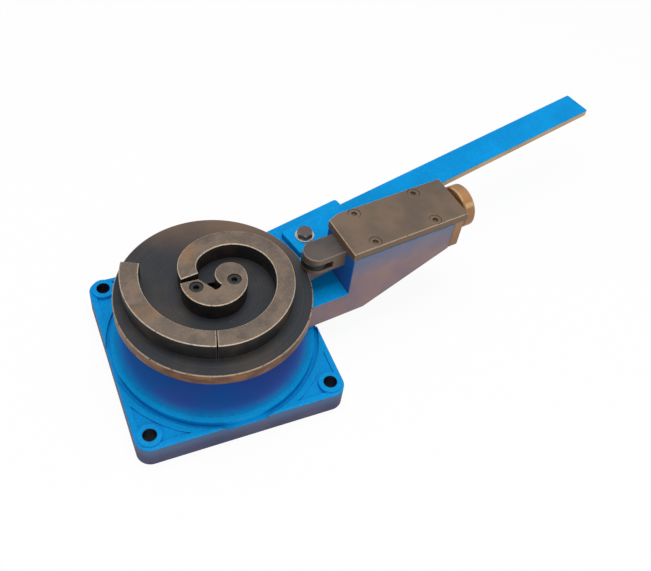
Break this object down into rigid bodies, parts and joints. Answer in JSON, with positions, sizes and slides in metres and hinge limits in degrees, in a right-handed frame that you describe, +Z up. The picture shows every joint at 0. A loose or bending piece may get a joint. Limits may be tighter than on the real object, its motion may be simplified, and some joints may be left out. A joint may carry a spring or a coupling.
{
  "type": "scroll bender",
  "caption": "Hand scroll bender: a spiral former on a square cast base, and a swinging arm with a screw-fed roller slide and a flat lever.",
  "frame": {"origin": "centre of the four bench bolt holes, on the bench plane, under the spindle's axis", "axes": "+X along the side of the base, towards the arm at rest; +Y along the other side, towards the lever; +Z up from the bench"},
  "size_m": [0.6554, 0.2841, 0.1383],
  "materials": {
    "cast_blue": "as-cast iron under blue enamel",
    "plate_steel": "turned plate with handling marks",
    "former_steel": "worn tool steel, bright at the edges",
    "dark_steel": "oiled black finish",
    "slide_steel": "ground and oiled",
    "cover_steel": "ground plate, browned",
    "bronze": "plain bearing bronze",
    "knob_steel": "turned and heat-browned",
    "handle_blue": "blue enamel on flat bar",
    "bolt_steel": "black socket screw with a bright washer"
  },
  "bodies": {
    "base": {"base_casting": "cast_blue", "spindle": "plate_steel", "spindle_base_dowels": "dark_steel", "spindle_plate_dowels": "dark_steel", "spindle_washer": "bolt_steel", "spindle_nut": "dark_steel", "scroll_plate": "plate_steel", "scroll_centre": "former_steel", "centre_screws": "dark_steel", "lower_thrust_washer": "bronze", "upper_thrust_washer": "bronze"},
    "middle_segment": {"scroll_middle_segment": "former_steel", "middle_segment_dowels": "dark_steel"},
    "outer_segment": {"scroll_outer_segment": "former_steel", "outer_segment_dowels": "dark_steel"},
    "arm": {"arm_casting": "cast_blue", "hub_bush": "bronze", "cover_plate": "cover_steel", "cover_screws": "dark_steel", "end_plate": "knob_steel", "end_plate_screws": "dark_steel", "handle_bolt": "dark_steel", "handle_washer": "bolt_steel"},
    "handle": {"handle_bar": "handle_blue"},
    "slide": {"slide_bar": "slide_steel", "feed_nut": "bronze", "roller_pin": "dark_steel"},
    "roller": {"roller": "dark_steel", "roller_bush": "bronze"},
    "feed": {"feed_screw": "slide_steel", "hand_knob": "knob_steel", "knob_pin": "dark_steel"}
  },
  "joints": [
    {"name": "arm_swing", "type": "hinge", "parent": "base", "child": "arm", "pos_m": [0, 0, 0.062], "axis": [0, 0, 1], "continuous": true},
    {"name": "handle_swing", "type": "hinge", "parent": "arm", "child": "handle", "pos_m": [0.11502, 0.04498, 0.098], "axis": [0, 0, 1], "range_deg": [0, 30]},
    {"name": "slide_feed", "type": "slide", "parent": "arm", "child": "slide", "axis": [-0.9919, -0.1271, 0], "range_m": [-0.01, 0.013]},
    {"name": "knob_turn", "type": "hinge", "parent": "arm", "child": "feed", "pos_m": [0.28898, 0.02643, 0.1145], "axis": [-0.9919, -0.1271, 0], "range_deg": [-1559, 1199]},
    {"name": "roller_spin", "type": "hinge", "parent": "slide", "child": "roller", "pos_m": [0.10846, 0.00331, 0.113], "axis": [0, 0, 1], "continuous": true},
    {"name": "middle_lift", "type": "slide", "parent": "base", "child": "middle_segment", "axis": [0, 0, 1], "range_m": [0, 0.03]},
    {"name": "outer_lift", "type": "slide", "parent": "base", "child": "outer_segment", "axis": [0, 0, 1], "range_m": [0, 0.03]}
  ],
  "couplings": [
    {"joint": "slide_feed", "follows": "knob_turn", "m_per_rad": -0.00047746}
  ]
}
